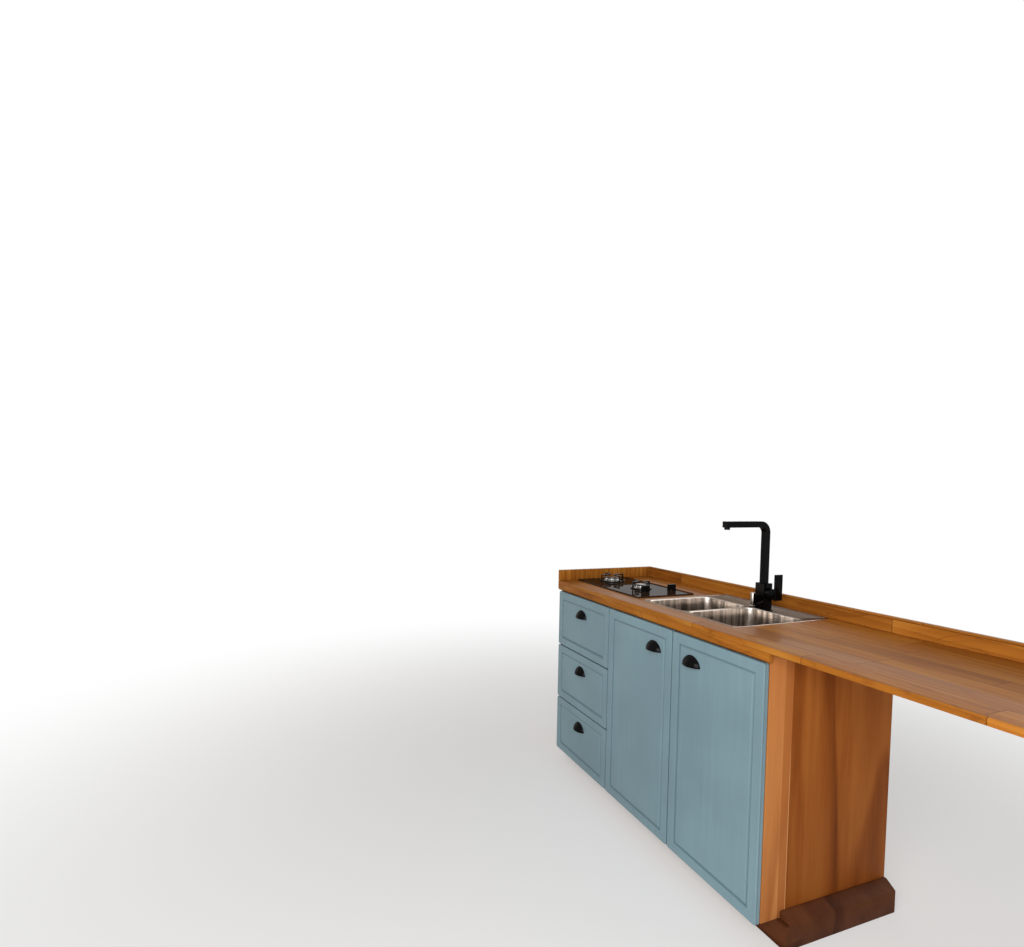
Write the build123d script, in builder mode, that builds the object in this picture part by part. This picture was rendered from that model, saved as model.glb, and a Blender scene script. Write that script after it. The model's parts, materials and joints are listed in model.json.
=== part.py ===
from build123d import *
import os

# Fitted kitchenette unit: a base cabinet with three drawers and two doors under a pine worktop
# that runs on to the right over an open leg bay. Millimetres. X runs along the wall, -Y is the
# front and Z is up. The origin is on the floor, under the middle of the whole unit.

# Worktop and upstand
worktop_length = 1880
worktop_setback = 3
worktop_top = 900
worktop_thickness = 18
upstand_height = 51
upstand_thickness = 18
worktop_edge_radius = 5
worktop_lower_radius = 1.5

# Cabinet
cabinet_width = 1268
panel_thickness = 18
back_thickness = 6
fascia_height = 30
fascia_round = 12
fascia_end_reach = 9
plinth_height = 72
plinth_setback = 78
skirting_thickness = 38
skirting_height = 94
skirting_bevel = 22
skirting_top_edge = 8
stile_width = 94
bearer_thickness = 18

# Drawer fronts and doors
front_reach = 548
front_thickness = 16
front_gap = 5
front_edge_radius = 2.5
front_corner_radius = 8
front_end_gap = 20
front_drop = 3
door_back_gap = 6
door_width = 400
groove_inset = 33.5
groove_width = 5
groove_depth = 2.5
groove_slope = 30

# Cup pulls
pull_width = 85
pull_height = 36
pull_depth = 24
pull_wall = 2
drawer_pull_drop = 68.5
door_pull_drop = 74
pull_end_gap = 56

# Drawer boxes and runners
box_height = 118
box_length = 450
box_wall = 12
box_floor = 8
box_clearance = 7
runner_space = 13
runner_height = 46
runner_sheet = 2
runner_lip = 10
runner_length = 450
runner_lift = 45
running_clearance = 0.3

# Door hinges
hinge_end_distance = 100
hinge_cup_radius = 17.5
hinge_cup_inset = 22.5
hinge_cup_proud = 2
hinge_plate_length = 56
hinge_plate_height = 34
hinge_arm_width = 12
hinge_arm_height = 16
hinge_arm_length = 72

# Hob
hob_length = 500
hob_width = 290
hob_glass_thickness = 6
hob_corner_radius = 6
hob_glass_bevel = 1.2
hob_left = 30
hob_back = 165
hob_box_margin = 15
hob_box_depth = 55
hob_box_wall = 2
hob_cutout_clearance = 2
hob_notch_clearance = 4
left_burner_radius = 40
right_burner_radius = 30
burner_base_height = 6
burner_crown_height = 8
burner_cap_height = 5
burner_step = 7
burner_slots = 24
burner_slot_width = 2
burner_slot_depth = 2.5
burner_cap_bevel = 1.2
left_burner_across = 88
right_burner_margin = 180
left_support_radius = 62
right_support_radius = 46
support_arms = 4
support_bar = 5
support_height = 32
support_reach = 12
knob_radius = 19
knob_height = 26
knob_skirt = 6
knob_grip_width = 14
knob_edge_radius = 1.5
knob_end_margin = 100
knob_front_margin = 110
knob_rear_margin = 40

# Sink
sink_length = 498
sink_width = 435
hob_sink_gap = 35
sink_back = 25
sink_sheet = 1.5
sink_flange = 2
sink_corner_radius = 20
sink_lip = 10
bowl_depth = 150
bowl_width = 306
bowl_front_margin = 16
left_bowl_length = 216
right_bowl_length = 241
bowl_end_margin = 14
bowl_corner_radius = 32
bowl_foot_radius = 18
waste_radius = 30
waste_flange_radius = 38
waste_flange_thickness = 1.5
waste_body_depth = 22
waste_tail_radius = 20
waste_tail_length = 60
tap_hole_clearance = 1.5
deck_knob_radius = 9.5
deck_knob_height = 54
deck_knob_foot_radius = 13
deck_knob_foot_height = 5
deck_knob_neck_radius = 8
deck_knob_neck_height = 6
deck_knob_edge_radius = 2
deck_knob_across = 242
deck_knob_in = 98

# Tap
tap_across = 280
tap_in = 85
tap_body_side = 42
tap_body_height = 97
tap_column_side = 23
tap_height = 333
tap_reach = 200
tap_elbow_radius = 32
tap_edge_radius = 1.5
tap_outlet_radius = 10
tap_outlet_drop = 8
tap_shank_radius = 16
tap_shank_length = 50
lever_hub_radius = 20
lever_hub_length = 40
lever_hub_lift = 60
lever_width = 34
lever_height = 97
lever_thickness = 8

os.makedirs("parts", exist_ok=True)

# Planes that the pieces share
left = -worktop_length / 2
right = worktop_length / 2
back = (front_reach + pull_depth) / 2
front = back - front_reach
front_back = front + front_thickness
carcass_front = front_back + door_back_gap
worktop_front = front + worktop_setback
worktop_under = worktop_top - worktop_thickness
cabinet_right = left + cabinet_width
end_inner = cabinet_right - panel_thickness
left_inner = left + panel_thickness
fascia_bottom = worktop_under - fascia_height
fronts_top = fascia_bottom - front_gap
fronts_bottom = plinth_height - front_drop
drawer_front_height = (fronts_top - fronts_bottom - 2 * front_gap) / 3
box_lift = front_drop + panel_thickness + box_clearance
right_door_start = cabinet_right - door_width
left_door_end = right_door_start - front_gap
left_door_start = left_door_end - door_width
drawer_left = left + front_end_gap
drawer_right = left_door_start - front_gap
divider_left = drawer_right + (front_gap - panel_thickness) / 2
divider_right = divider_left + panel_thickness
plinth_front_face = front + plinth_setback
hob_start = left + hob_left
hob_rear = back - hob_back
hob_middle = (hob_start + hob_length / 2, hob_rear - hob_width / 2)
hob_top = worktop_top + hob_glass_thickness
sink_start = hob_start + hob_length + hob_sink_gap
sink_rear = back - sink_back
sink_middle = (sink_start + sink_length / 2, sink_rear - sink_width / 2)
bowl_y = sink_rear - sink_width + bowl_front_margin + bowl_width / 2
left_bowl_x = sink_start + bowl_end_margin + left_bowl_length / 2
right_bowl_x = sink_start + sink_length - bowl_end_margin - right_bowl_length / 2
sink_top = worktop_top + sink_flange
tap_x = sink_start + tap_across
tap_y = sink_rear - tap_in


def board(x_low, x_high, y_low, y_high, z_low, z_high):
    # A plain rectangular board between six planes
    with BuildPart() as made:
        with BuildSketch(Plane.XY.offset(z_low)):
            with Locations(((x_low + x_high) / 2, (y_low + y_high) / 2)):
                Rectangle(x_high - x_low, y_high - y_low)
        extrude(amount=z_high - z_low)
    return made


def save(made, name):
    made.part.label = name
    export_step(made.part, f"parts/{name}.step")


# Carcass: two sides, a divider between the drawers and the cupboard, a floor and a thin back
save(board(left, left_inner, carcass_front, back - back_thickness, plinth_height, worktop_under),
     "side_panel_left")
save(board(left_inner, end_inner, carcass_front, back - back_thickness,
           plinth_height, plinth_height + panel_thickness), "bottom_panel")
save(board(left, end_inner, back - back_thickness, back, plinth_height, worktop_under), "back_panel")

with BuildPart() as divider:
    with BuildSketch(Plane.YZ.offset(divider_left)):
        with BuildLine():
            notch_front = hob_rear - hob_width + hob_box_margin - hob_notch_clearance
            notch_rear = hob_rear - hob_box_margin + hob_notch_clearance
            notch_floor = worktop_top - hob_box_depth - hob_notch_clearance
            Polyline(
                (carcass_front, plinth_height + panel_thickness),
                (carcass_front, worktop_under),
                (notch_front, worktop_under),
                (notch_front, notch_floor),
                (notch_rear, notch_floor),
                (notch_rear, worktop_under),
                (back - back_thickness, worktop_under),
                (back - back_thickness, plinth_height + panel_thickness),
                close=True,
            )
        make_face()
    extrude(amount=panel_thickness)
divider.part.label = "divider"
export_step(divider.part, "parts/divider.step")

# The plywood end that shows: a wide board and a narrower stile along its front
stile_back = carcass_front + stile_width
save(board(end_inner, cabinet_right, stile_back, back, plinth_height, worktop_under), "end_panel")
save(board(end_inner, cabinet_right, carcass_front, stile_back, plinth_height, worktop_under),
     "end_stile")

# Fascia rail between the worktop and the fronts, with a well rounded lower edge
with BuildPart() as fascia_rail:
    fascia_end = cabinet_right + fascia_end_reach
    with BuildSketch(Plane.YZ.offset(left)):
        with Locations(((worktop_front + carcass_front) / 2, fascia_bottom + fascia_height / 2)):
            Rectangle(carcass_front - worktop_front, fascia_height)
    extrude(amount=fascia_end - left)
    lower_edges = fascia_rail.edges().filter_by(Axis.X).group_by(Axis.Z)[0]
    fillet(lower_edges.sort_by(Axis.Y)[0], radius=fascia_round)
fascia_rail.part.label = "fascia_rail"
export_step(fascia_rail.part, "parts/fascia_rail.step")

# Base: a recessed board in front, a skirting with a bevelled top at the end, bearers in between
skirting_face = cabinet_right + skirting_thickness
save(board(left, skirting_face, plinth_front_face, plinth_front_face + panel_thickness,
           0, plinth_height), "plinth_front")

with BuildPart() as side_skirting:
    skirting_front = plinth_front_face + panel_thickness
    with BuildSketch(Plane.XZ.offset(-back)):
        with BuildLine():
            Polyline(
                (cabinet_right, 0),
                (skirting_face, 0),
                (skirting_face, skirting_height - skirting_bevel),
                (cabinet_right + skirting_top_edge, skirting_height),
                (cabinet_right, skirting_height),
                close=True,
            )
        make_face()
    extrude(amount=back - skirting_front)
side_skirting.part.label = "side_skirting"
export_step(side_skirting.part, "parts/side_skirting.step")

with BuildPart() as base_bearers:
    bearer_length = back - back_thickness - plinth_front_face - panel_thickness
    bearer_y = plinth_front_face + panel_thickness + bearer_length / 2
    with BuildSketch(Plane.XY):
        for bearer_x in (left + bearer_thickness / 2, (divider_left + divider_right) / 2,
                         cabinet_right - bearer_thickness / 2):
            with Locations((bearer_x, bearer_y)):
                Rectangle(bearer_thickness, bearer_length)
    extrude(amount=plinth_height)
base_bearers.part.label = "base_bearers"
export_step(base_bearers.part, "parts/base_bearers.step")

# Worktop with the cut-outs of the hob and the sink, and its upstands
with BuildPart() as worktop:
    with BuildSketch(Plane.XY.offset(worktop_under)):
        with Locations((0, (worktop_front + back) / 2)):
            Rectangle(worktop_length, back - worktop_front)
    extrude(amount=worktop_thickness)
    front_edges = worktop.edges().filter_by(Axis.X).group_by(Axis.Y)[0].sort_by(Axis.Z)
    fillet(front_edges[1], radius=worktop_edge_radius)
    fillet(front_edges[0], radius=worktop_lower_radius)
    with BuildSketch(Plane.XY.offset(worktop_under)):
        with Locations(hob_middle):
            Rectangle(
                hob_length - 2 * (hob_box_margin - hob_cutout_clearance),
                hob_width - 2 * (hob_box_margin - hob_cutout_clearance),
            )
        with Locations(sink_middle):
            Rectangle(sink_length - 2 * sink_lip, sink_width - 2 * sink_lip)
    extrude(amount=worktop_thickness, mode=Mode.SUBTRACT)
worktop.part.label = "worktop"
export_step(worktop.part, "parts/worktop.step")

upstand_top = worktop_top + upstand_height
save(board(left, right, back - upstand_thickness, back, worktop_top, upstand_top), "upstand_back")
save(board(left, left + upstand_thickness, worktop_front, back - upstand_thickness,
           worktop_top, upstand_top), "upstand_left")


def panelled_front(x_low, x_high, z_low, z_high):
    # A painted board with softened edges and a frame line routed round its field
    middle = ((x_low + x_high) / 2, (z_low + z_high) / 2)
    width = x_high - x_low
    height = z_high - z_low
    with BuildPart() as made:
        with BuildSketch(Plane.XZ.offset(-front_back)):
            with Locations(middle):
                RectangleRounded(width, height, front_corner_radius)
        extrude(amount=front_thickness)
        fillet(made.faces().sort_by(Axis.Y)[0].edges(), radius=front_edge_radius)
        with BuildSketch(Plane.XZ.offset(-front)):
            with Locations(middle):
                Rectangle(width - 2 * groove_inset, height - 2 * groove_inset)
                Rectangle(
                    width - 2 * (groove_inset + groove_width),
                    height - 2 * (groove_inset + groove_width),
                    mode=Mode.SUBTRACT,
                )
        extrude(amount=-groove_depth, taper=groove_slope, mode=Mode.SUBTRACT)
    return made


def cup_solid(inset):
    # The bulge of a cup pull: an arc turned about a level line behind its back plane
    half_width = pull_width / 2
    turn_depth = (pull_height**2 - pull_depth**2) / (2 * pull_depth)
    arc_depth = (half_width**2 - pull_depth**2) / (2 * pull_depth)
    arc_radius = pull_depth + arc_depth - inset
    reach = (arc_radius**2 - arc_depth**2) ** 0.5
    with BuildPart() as made:
        with BuildSketch(Plane.XY):
            with BuildLine():
                ThreePointArc((-reach, 0), (0, arc_depth - arc_radius), (reach, 0))
                Line((reach, 0), (-reach, 0))
            make_face()
        revolve(axis=Axis((0, turn_depth, 0), (-1, 0, 0)), revolution_arc=90)
        split(bisect_by=Plane.XZ, keep=Keep.TOP)
    return made


cup_outside = cup_solid(0)
cup_inside = cup_solid(pull_wall)


def cup_pull(x_middle, z_middle):
    # A thin shell, open below for the fingers and at its back against the front that carries it
    place = (x_middle, front, z_middle - pull_height / 2)
    with BuildPart() as made:
        with Locations(place):
            add(cup_outside.part)
            add(cup_inside.part, mode=Mode.SUBTRACT)
    return made


def drawer_box(z_low):
    # An open tray with the sliding member of a runner along each side
    x_low = left_inner + runner_space
    x_high = divider_left - runner_space
    middle = ((x_low + x_high) / 2, front_back + box_length / 2)
    rail_width = runner_space - runner_sheet - running_clearance
    rail_height = runner_height - 2 * runner_sheet - 2 * running_clearance
    with BuildPart() as made:
        with BuildSketch(Plane.XY.offset(z_low)):
            with Locations(middle):
                Rectangle(x_high - x_low, box_length)
        extrude(amount=box_height)
        with BuildSketch(Plane.XY.offset(z_low + box_floor)):
            with Locations(middle):
                Rectangle(x_high - x_low - 2 * box_wall, box_length - 2 * box_wall)
        extrude(amount=box_height - box_floor, mode=Mode.SUBTRACT)
        with BuildSketch(Plane.XZ.offset(-carcass_front)):
            with Locations((x_low - rail_width / 2, z_low + runner_lift),
                           (x_high + rail_width / 2, z_low + runner_lift)):
                Rectangle(rail_width, rail_height)
        extrude(amount=-runner_length)
    return made


drawer_names = ("bottom", "middle", "top")
box_lows = []
for level, name in enumerate(drawer_names):
    z_low = fronts_bottom + level * (drawer_front_height + front_gap)
    z_high = z_low + drawer_front_height
    box_lows.append(z_low + box_lift)
    save(panelled_front(drawer_left, drawer_right, z_low, z_high), f"drawer_{name}_front")
    save(drawer_box(z_low + box_lift), f"drawer_{name}_box")
    save(cup_pull((drawer_left + drawer_right) / 2, z_high - drawer_pull_drop),
         f"drawer_{name}_pull")

# Fixed members of the runners: a channel on each side of the drawer bay at each drawer
with BuildPart() as drawer_runners:
    for box_low in box_lows:
        for wall_x, inward in ((left_inner, 1), (divider_left, -1)):
            with BuildSketch(Plane.XZ.offset(-carcass_front)):
                with BuildLine():
                    low = box_low + runner_lift - runner_height / 2
                    high = low + runner_height
                    web = wall_x + inward * runner_sheet
                    lip = wall_x + inward * runner_lip
                    Polyline(
                        (wall_x, low),
                        (lip, low),
                        (lip, low + runner_sheet),
                        (web, low + runner_sheet),
                        (web, high - runner_sheet),
                        (lip, high - runner_sheet),
                        (lip, high),
                        (wall_x, high),
                        close=True,
                    )
                make_face()
            extrude(amount=-runner_length)
drawer_runners.part.label = "drawer_runners"
export_step(drawer_runners.part, "parts/drawer_runners.step")

# Doors, hung on their outer edges, with their pulls near the meeting edges
save(panelled_front(left_door_start, left_door_end, fronts_bottom, fronts_top), "door_left_panel")
save(panelled_front(right_door_start, cabinet_right, fronts_bottom, fronts_top),
     "door_right_panel")
door_pull_z = fronts_top - door_pull_drop
save(cup_pull(left_door_end - pull_end_gap - pull_width / 2, door_pull_z), "door_left_pull")
save(cup_pull(right_door_start + pull_end_gap + pull_width / 2, door_pull_z), "door_right_pull")

hinge_levels = (fronts_bottom + hinge_end_distance, fronts_top - hinge_end_distance)


def hinge_cups(x_middle):
    # The round flanges of a door's two hinges, on its back
    with BuildPart() as made:
        with BuildSketch(Plane.XZ.offset(-front_back)):
            with Locations(*[(x_middle, level) for level in hinge_levels]):
                Circle(hinge_cup_radius)
        extrude(amount=-hinge_cup_proud)
    return made


save(hinge_cups(left_door_start + hinge_cup_inset), "door_left_hinges")
save(hinge_cups(cabinet_right - hinge_cup_inset), "door_right_hinges")

# Arms of the hinges: a plate on the wall of the cupboard and an arm that reaches to the cup
with BuildPart() as hinge_arms:
    arm_front = front_back + hinge_cup_proud + running_clearance
    plate_y = arm_front + hinge_arm_length - hinge_plate_length / 2
    for wall_x, inward in ((divider_right, 1), (end_inner, -1)):
        for level in hinge_levels:
            with BuildSketch(Plane.XY.offset(level - hinge_plate_height / 2)):
                with Locations((wall_x + inward * runner_sheet / 2, plate_y)):
                    Rectangle(runner_sheet, hinge_plate_length)
            extrude(amount=hinge_plate_height)
            with BuildSketch(Plane.XY.offset(level - hinge_arm_height / 2)):
                with Locations((wall_x + inward * (runner_sheet + hinge_arm_width / 2),
                                arm_front + hinge_arm_length / 2)):
                    Rectangle(hinge_arm_width, hinge_arm_length)
            extrude(amount=hinge_arm_height)
hinge_arms.part.label = "hinge_arms"
export_step(hinge_arms.part, "parts/hinge_arms.step")

# Hob: a glass plate on the worktop over a sheet steel tray
with BuildPart() as hob_glass:
    with BuildSketch(Plane.XY.offset(worktop_top)):
        with Locations(hob_middle):
            RectangleRounded(hob_length, hob_width, hob_corner_radius)
    extrude(amount=hob_glass_thickness)
    chamfer(hob_glass.faces().sort_by(Axis.Z)[-1].edges(), length=hob_glass_bevel)
hob_glass.part.label = "hob_glass"
export_step(hob_glass.part, "parts/hob_glass.step")

with BuildPart() as hob_tray:
    tray_length = hob_length - 2 * hob_box_margin
    tray_width = hob_width - 2 * hob_box_margin
    with BuildSketch(Plane.XY.offset(worktop_top - hob_box_depth)):
        with Locations(hob_middle):
            Rectangle(tray_length, tray_width)
    extrude(amount=hob_box_depth)
    with BuildSketch(Plane.XY.offset(worktop_top - hob_box_depth + hob_box_wall)):
        with Locations(hob_middle):
            Rectangle(tray_length - 2 * hob_box_wall, tray_width - 2 * hob_box_wall)
    extrude(amount=hob_box_depth, mode=Mode.SUBTRACT)
hob_tray.part.label = "hob_tray"
export_step(hob_tray.part, "parts/hob_tray.step")

burner_y = hob_middle[1]
burners = (
    (hob_start + left_burner_across, left_burner_radius, left_support_radius),
    (hob_start + hob_length - right_burner_margin, right_burner_radius, right_support_radius),
)

# Burners: a base, a crown with flame slots cut into its rim, and a bevelled cap
with BuildPart() as hob_burners:
    for burner_x, radius, support_radius in burners:
        with BuildSketch(Plane.XY.offset(hob_top)):
            with Locations((burner_x, burner_y)):
                Circle(radius)
        extrude(amount=burner_base_height)
        crown_low = hob_top + burner_base_height
        with BuildSketch(Plane.XY.offset(crown_low)):
            with Locations((burner_x, burner_y)):
                Circle(radius - burner_step)
                with PolarLocations(radius - burner_step, burner_slots):
                    Rectangle(2 * burner_slot_depth, burner_slot_width, mode=Mode.SUBTRACT)
        extrude(amount=burner_crown_height)
        with BuildSketch(Plane.XY.offset(crown_low + burner_crown_height)):
            with Locations((burner_x, burner_y)):
                Circle(radius - burner_step / 2)
        extrude(amount=burner_cap_height)
    chamfer(hob_burners.faces().group_by(Axis.Z)[-1].edges(), length=burner_cap_bevel)
hob_burners.part.label = "hob_burners"
export_step(hob_burners.part, "parts/hob_burners.step")

# Pan supports: a ring on the glass with four fingers that rise and point inwards
with BuildPart() as pan_supports:
    for burner_x, radius, ring_radius in burners:
        with BuildSketch(Plane.XY.offset(hob_top)):
            with Locations((burner_x, burner_y)):
                Circle(ring_radius)
                Circle(ring_radius - support_bar, mode=Mode.SUBTRACT)
        extrude(amount=support_bar)
        with BuildSketch(Plane.XY.offset(hob_top + support_bar)):
            with Locations((burner_x, burner_y)):
                with PolarLocations(ring_radius - support_bar / 2, support_arms):
                    Rectangle(support_bar, support_bar)
        extrude(amount=support_height - 2 * support_bar)
        finger_length = ring_radius - support_reach
        with BuildSketch(Plane.XY.offset(hob_top + support_height - support_bar)):
            with Locations((burner_x, burner_y)):
                with PolarLocations(ring_radius - finger_length / 2, support_arms):
                    Rectangle(finger_length, support_bar)
        extrude(amount=support_bar)
pan_supports.part.label = "pan_supports"
export_step(pan_supports.part, "parts/pan_supports.step")


def hob_knob(middle_x, middle_y):
    # A round skirt with a straight block across it as the grip
    skirt_low = hob_top + running_clearance
    with BuildPart() as made:
        with BuildSketch(Plane.XY.offset(skirt_low)):
            with Locations((middle_x, middle_y)):
                Circle(knob_radius)
        extrude(amount=knob_height)
        with BuildSketch(Plane.XY.offset(skirt_low + knob_skirt)):
            with Locations((middle_x, middle_y)):
                Circle(knob_radius)
                Rectangle(knob_grip_width, 2 * knob_radius, mode=Mode.SUBTRACT)
        extrude(amount=knob_height, mode=Mode.SUBTRACT)
        fillet(made.faces().sort_by(Axis.Z)[-1].edges(), radius=knob_edge_radius)
    return made


knob_x = hob_start + hob_length - knob_end_margin
save(hob_knob(knob_x, hob_rear - hob_width + knob_front_margin), "hob_knob_front")
save(hob_knob(knob_x, hob_rear - knob_rear_margin), "hob_knob_back")

# Sink: one sheet with a flat flange, two deep bowls and a deck behind them for the tap
bowls = ((left_bowl_x, left_bowl_length), (right_bowl_x, right_bowl_length))
bowl_floor = sink_top - bowl_depth


def bowl_solid(bowl_x, bowl_length, skin):
    # A bowl as a solid with round corners and a round foot, grown by the thickness of its skin
    with BuildPart() as made:
        with BuildSketch(Plane.XY.offset(bowl_floor - skin)):
            with Locations((bowl_x, bowl_y)):
                RectangleRounded(
                    bowl_length + 2 * skin, bowl_width + 2 * skin, bowl_corner_radius + skin
                )
        extrude(amount=bowl_depth + skin)
        fillet(made.faces().sort_by(Axis.Z)[0].edges(), radius=bowl_foot_radius + skin)
    return made


bowl_skins = [bowl_solid(*bowl, sink_sheet) for bowl in bowls]
bowl_hollows = [bowl_solid(*bowl, 0) for bowl in bowls]

with BuildPart() as sink:
    with BuildSketch(Plane.XY.offset(worktop_top)):
        with Locations(sink_middle):
            RectangleRounded(sink_length, sink_width, sink_corner_radius)
    extrude(amount=sink_flange)
    for skin in bowl_skins:
        add(skin.part)
    for hollow in bowl_hollows:
        add(hollow.part, mode=Mode.SUBTRACT)
    with Locations(*[(bowl_x, bowl_y, bowl_floor) for bowl_x, bowl_length in bowls]):
        Hole(waste_radius, depth=2 * sink_sheet)
    with Locations((tap_x, tap_y, sink_top)):
        Hole(tap_shank_radius + tap_hole_clearance, depth=sink_flange)
sink.part.label = "sink"
export_step(sink.part, "parts/sink.step")

with BuildPart() as sink_wastes:
    for bowl_x, bowl_length in bowls:
        tiers = (
            (bowl_floor, waste_flange_radius, waste_flange_thickness),
            (bowl_floor - waste_body_depth, waste_radius, waste_body_depth),
            (bowl_floor - waste_body_depth - waste_tail_length, waste_tail_radius, waste_tail_length),
        )
        for tier_low, tier_radius, tier_height in tiers:
            with BuildSketch(Plane.XY.offset(tier_low)):
                with Locations((bowl_x, bowl_y)):
                    Circle(tier_radius)
            extrude(amount=tier_height)
sink_wastes.part.label = "sink_wastes"
export_step(sink_wastes.part, "parts/sink_wastes.step")

# A small round knob on the deck beside the tap
deck_knob_x = sink_start + deck_knob_across
deck_knob_y = sink_rear - deck_knob_in
with BuildPart() as deck_knob:
    with BuildSketch(Plane.XY.offset(sink_top)):
        with Locations((deck_knob_x, deck_knob_y)):
            Circle(deck_knob_foot_radius)
    extrude(amount=deck_knob_foot_height)
    with BuildSketch(Plane.XY.offset(sink_top + deck_knob_foot_height)):
        with Locations((deck_knob_x, deck_knob_y)):
            Circle(deck_knob_neck_radius)
    extrude(amount=deck_knob_neck_height)
    deck_knob_stem = sink_top + deck_knob_foot_height + deck_knob_neck_height
    with BuildSketch(Plane.XY.offset(deck_knob_stem)):
        with Locations((deck_knob_x, deck_knob_y)):
            Circle(deck_knob_radius)
    extrude(amount=sink_top + deck_knob_height - deck_knob_stem)
    fillet(deck_knob.faces().sort_by(Axis.Z)[-1].edges(), radius=deck_knob_edge_radius)
deck_knob.part.label = "deck_knob"
export_step(deck_knob.part, "parts/deck_knob.step")

# Tap: a square body on a threaded shank, a square spout that swivels on it, a lever at its side
tap_body_top = sink_top + tap_body_height
with BuildPart() as tap_body:
    with BuildSketch(Plane.XY.offset(sink_top)):
        with Locations((tap_x, tap_y)):
            Rectangle(tap_body_side, tap_body_side)
    extrude(amount=tap_body_height)
    fillet(tap_body.edges().filter_by(Axis.Z), radius=tap_edge_radius)
    with BuildSketch(Plane.XY.offset(sink_top)):
        with Locations((tap_x, tap_y)):
            Circle(tap_shank_radius)
    extrude(amount=-tap_shank_length)
tap_body.part.label = "tap_body"
export_step(tap_body.part, "parts/tap_body.step")

with BuildPart() as tap_spout:
    spout_low = tap_body_top + running_clearance
    spout_line = sink_top + tap_height - tap_column_side / 2
    spout_end = tap_y - tap_reach
    with BuildLine() as spout_path:
        FilletPolyline(
            (tap_x, tap_y, spout_low),
            (tap_x, tap_y, spout_line),
            (tap_x, spout_end, spout_line),
            radius=tap_elbow_radius,
        )
    with BuildSketch(Plane.XY.offset(spout_low)):
        with Locations((tap_x, tap_y)):
            RectangleRounded(tap_column_side, tap_column_side, tap_edge_radius)
    sweep(path=spout_path.wires()[0])
    with BuildSketch(Plane.XY.offset(spout_line - tap_column_side / 2)):
        with Locations((tap_x, spout_end + tap_column_side / 2)):
            Circle(tap_outlet_radius)
    extrude(amount=-tap_outlet_drop)
tap_spout.part.label = "tap_spout"
export_step(tap_spout.part, "parts/tap_spout.step")

hub_z = sink_top + lever_hub_lift
hub_start = tap_x + tap_body_side / 2 + running_clearance
with BuildPart() as tap_hub:
    with BuildSketch(Plane.YZ.offset(hub_start)):
        with Locations((tap_y, hub_z)):
            Circle(lever_hub_radius)
    extrude(amount=lever_hub_length)
tap_hub.part.label = "tap_hub"
export_step(tap_hub.part, "parts/tap_hub.step")

with BuildPart() as tap_lever:
    lever_start = hub_start + lever_hub_length + running_clearance
    lever_low = hub_z - lever_hub_radius
    with BuildSketch(Plane.YZ.offset(lever_start)):
        with Locations((tap_y, lever_low + lever_height / 2)):
            RectangleRounded(lever_width, lever_height, tap_edge_radius)
    extrude(amount=lever_thickness)
tap_lever.part.label = "tap_lever"
export_step(tap_lever.part, "parts/tap_lever.step")
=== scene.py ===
import json
import math

import bmesh
import bpy
from mathutils import Matrix, Vector


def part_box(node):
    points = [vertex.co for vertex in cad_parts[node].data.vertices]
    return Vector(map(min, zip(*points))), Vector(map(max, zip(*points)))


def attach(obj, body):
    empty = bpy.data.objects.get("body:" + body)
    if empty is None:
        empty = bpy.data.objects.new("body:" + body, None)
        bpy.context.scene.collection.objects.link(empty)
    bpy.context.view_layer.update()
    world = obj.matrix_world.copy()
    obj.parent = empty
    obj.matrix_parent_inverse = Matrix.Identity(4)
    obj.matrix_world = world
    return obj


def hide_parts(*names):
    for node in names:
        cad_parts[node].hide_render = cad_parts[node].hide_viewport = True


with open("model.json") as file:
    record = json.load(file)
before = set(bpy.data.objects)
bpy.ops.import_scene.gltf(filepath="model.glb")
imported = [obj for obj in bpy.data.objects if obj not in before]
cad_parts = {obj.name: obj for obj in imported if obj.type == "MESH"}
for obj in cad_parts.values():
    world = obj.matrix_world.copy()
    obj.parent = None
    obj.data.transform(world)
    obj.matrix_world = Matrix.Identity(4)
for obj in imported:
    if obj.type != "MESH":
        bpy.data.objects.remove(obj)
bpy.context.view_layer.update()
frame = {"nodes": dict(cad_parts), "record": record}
nodes = frame["nodes"]
bodyOf = {node: body for body, members in frame["record"]["behaviour"]["bodies"].items() for node in members}
slotOf = {row["node"]: row["material_slot"] for row in frame["record"]["subparts"]}
print("frame loaded:", len(nodes), "nodes")

black = (0.0, 0.0, 0.0, 1.0)
white = (1.0, 1.0, 1.0, 1.0)


# Small helpers for shader nodes: a value may be a number, a colour or another node's output

def plug(mat, value, socket):
    if isinstance(value, bpy.types.NodeSocket):
        mat.node_tree.links.new(value, socket)
    else:
        socket.default_value = value


def add(mat, kind, inputs=None, **settings):
    made = mat.node_tree.nodes.new("ShaderNode" + kind)
    for key, value in settings.items():
        setattr(made, key, value)
    for key, value in (inputs or {}).items():
        plug(mat, value, made.inputs[key])
    return made


def calc(mat, operation, a, b=0.0):
    return add(mat, "Math", {0: a, 1: b}, operation=operation).outputs[0]


def weighted(mat, values, shares):
    # The sum of several values, each by its share
    parts = [calc(mat, "MULTIPLY", value, share) for value, share in zip(values, shares)]
    total = parts[0]
    for part in parts[1:]:
        total = calc(mat, "ADD", total, part)
    return total


def fromMiddle(mat, value):
    # How far a value is from the middle of its own whole step, 0 to 0.5
    return calc(mat, "ABSOLUTE", calc(mat, "SUBTRACT", calc(mat, "FRACT", value), 0.5))


def between(mat, value, low, high, newLow=0.0, newHigh=1.0):
    made = add(mat, "MapRange", {"Value": value, "From Min": low, "From Max": high,
                                 "To Min": newLow, "To Max": newHigh}, interpolation_type="SMOOTHSTEP")
    return made.outputs["Result"]


def mixColour(mat, factor, a, b, blend="MIX"):
    made = add(mat, "Mix", data_type="RGBA", blend_type=blend)
    plug(mat, factor, made.inputs["Factor"])
    plug(mat, a, made.inputs[6])
    plug(mat, b, made.inputs[7])
    return made.outputs[2]


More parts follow.
